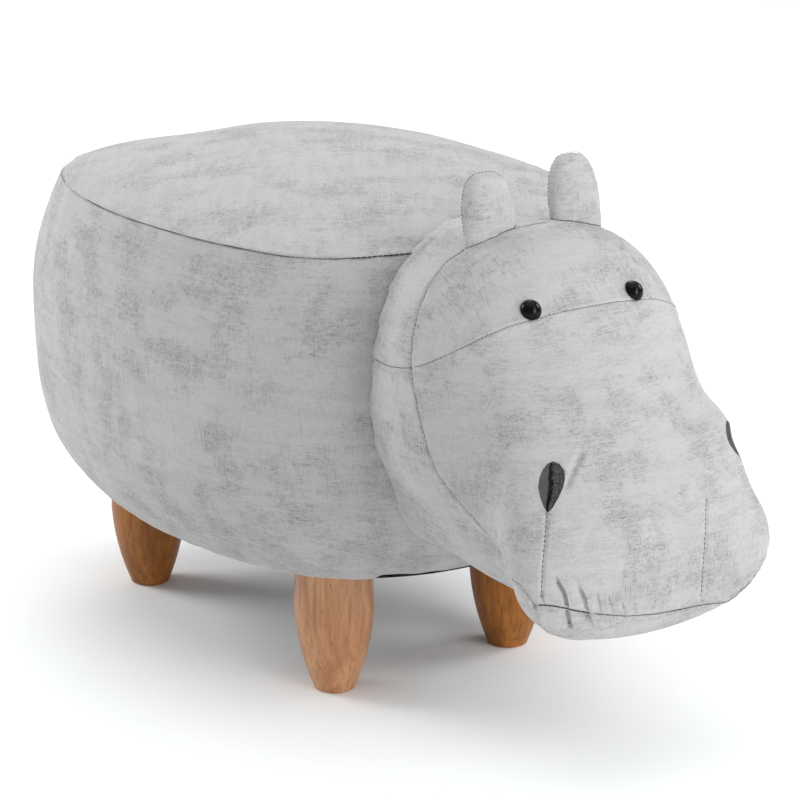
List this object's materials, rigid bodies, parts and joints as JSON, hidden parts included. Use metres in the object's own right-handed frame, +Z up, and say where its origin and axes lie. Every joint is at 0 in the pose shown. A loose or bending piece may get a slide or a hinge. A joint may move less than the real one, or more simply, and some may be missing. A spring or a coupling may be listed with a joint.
{
  "type": "animal footstool",
  "caption": "Padded oval footstool shaped like a hippo, with a stuffed head, a short tail and four turned wooden legs that screw in.",
  "frame": {"origin": "on the floor, under the middle of the stool's box in plan", "axes": "+Z up, the head looks along -Y, +X to the animal's left side"},
  "size_m": [0.3714, 0.6617, 0.392],
  "materials": {
    "suede": "soft light grey faux suede",
    "nostril_cloth": "dark grey leatherette",
    "foam": "open-cell foam and polyester fibre",
    "dust_cloth": "black non-woven",
    "turned_wood": "reddish brown rubberwood, satin lacquer",
    "plywood": "plain plywood",
    "fibreboard": "thin fibreboard",
    "zinc_steel": "zinc plated",
    "eye_plastic": "black, polished",
    "washer_plastic": "white"
  },
  "bodies": {
    "stool": {"seat_cover": "suede", "body_cover": "suede", "head_upper_gusset": "suede", "head_lower_gusset": "suede", "forehead_panel": "suede", "muzzle_panel": "suede", "chin_panel": "suede", "ear_cover_left": "suede", "ear_cover_right": "suede", "tail": "suede", "nostril_patch_left": "nostril_cloth", "nostril_patch_right": "nostril_cloth", "seat_foam": "foam", "body_padding": "foam", "head_stuffing": "foam", "ear_stuffing_left": "foam", "ear_stuffing_right": "foam", "dust_cover": "dust_cloth", "base_board": "plywood", "seat_board": "plywood", "frame_post_side_left": "plywood", "frame_post_side_right": "plywood", "frame_post_front_left": "plywood", "frame_post_front_right": "plywood", "frame_post_rear_left": "plywood", "frame_post_rear_right": "plywood", "frame_wrap": "fibreboard", "frame_screws": "zinc_steel", "staples": "zinc_steel", "eye_left": "eye_plastic", "eye_washer_left": "washer_plastic", "eye_right": "eye_plastic", "eye_washer_right": "washer_plastic", "t_nut_front_left": "zinc_steel", "t_nut_front_right": "zinc_steel", "t_nut_rear_left": "zinc_steel", "t_nut_rear_right": "zinc_steel"},
    "bolt_front_left": {"leg_bolt_front_left": "zinc_steel"},
    "leg_front_left": {"leg_front_left": "turned_wood"},
    "bolt_front_right": {"leg_bolt_front_right": "zinc_steel"},
    "leg_front_right": {"leg_front_right": "turned_wood"},
    "bolt_rear_left": {"leg_bolt_rear_left": "zinc_steel"},
    "leg_rear_left": {"leg_rear_left": "turned_wood"},
    "bolt_rear_right": {"leg_bolt_rear_right": "zinc_steel"},
    "leg_rear_right": {"leg_rear_right": "turned_wood"}
  },
  "joints": [
    {"name": "leg_travel_front_left", "type": "slide", "parent": "stool", "child": "bolt_front_left", "axis": [0, 0, -1], "range_m": [0, 0.0125]},
    {"name": "leg_screw_front_left", "type": "hinge", "parent": "bolt_front_left", "child": "leg_front_left", "pos_m": [0.076, -0.05475, 0.094], "axis": [0, 0, -1], "range_deg": [0, 3600]},
    {"name": "leg_travel_front_right", "type": "slide", "parent": "stool", "child": "bolt_front_right", "axis": [0, 0, -1], "range_m": [0, 0.0125]},
    {"name": "leg_screw_front_right", "type": "hinge", "parent": "bolt_front_right", "child": "leg_front_right", "pos_m": [-0.076, -0.05475, 0.094], "axis": [0, 0, -1], "range_deg": [0, 3600]},
    {"name": "leg_travel_rear_left", "type": "slide", "parent": "stool", "child": "bolt_rear_left", "axis": [0, 0, -1], "range_m": [0, 0.0125]},
    {"name": "leg_screw_rear_left", "type": "hinge", "parent": "bolt_rear_left", "child": "leg_rear_left", "pos_m": [0.076, 0.20625, 0.094], "axis": [0, 0, -1], "range_deg": [0, 3600]},
    {"name": "leg_travel_rear_right", "type": "slide", "parent": "stool", "child": "bolt_rear_right", "axis": [0, 0, -1], "range_m": [0, 0.0125]},
    {"name": "leg_screw_rear_right", "type": "hinge", "parent": "bolt_rear_right", "child": "leg_rear_right", "pos_m": [-0.076, 0.20625, 0.094], "axis": [0, 0, -1], "range_deg": [0, 3600]}
  ],
  "couplings": [
    {"joint": "leg_travel_front_left", "follows": "leg_screw_front_left", "m_per_rad": 0.00019894},
    {"joint": "leg_travel_front_right", "follows": "leg_screw_front_right", "m_per_rad": 0.00019894},
    {"joint": "leg_travel_rear_left", "follows": "leg_screw_rear_left", "m_per_rad": 0.00019894},
    {"joint": "leg_travel_rear_right", "follows": "leg_screw_rear_right", "m_per_rad": 0.00019894}
  ]
}
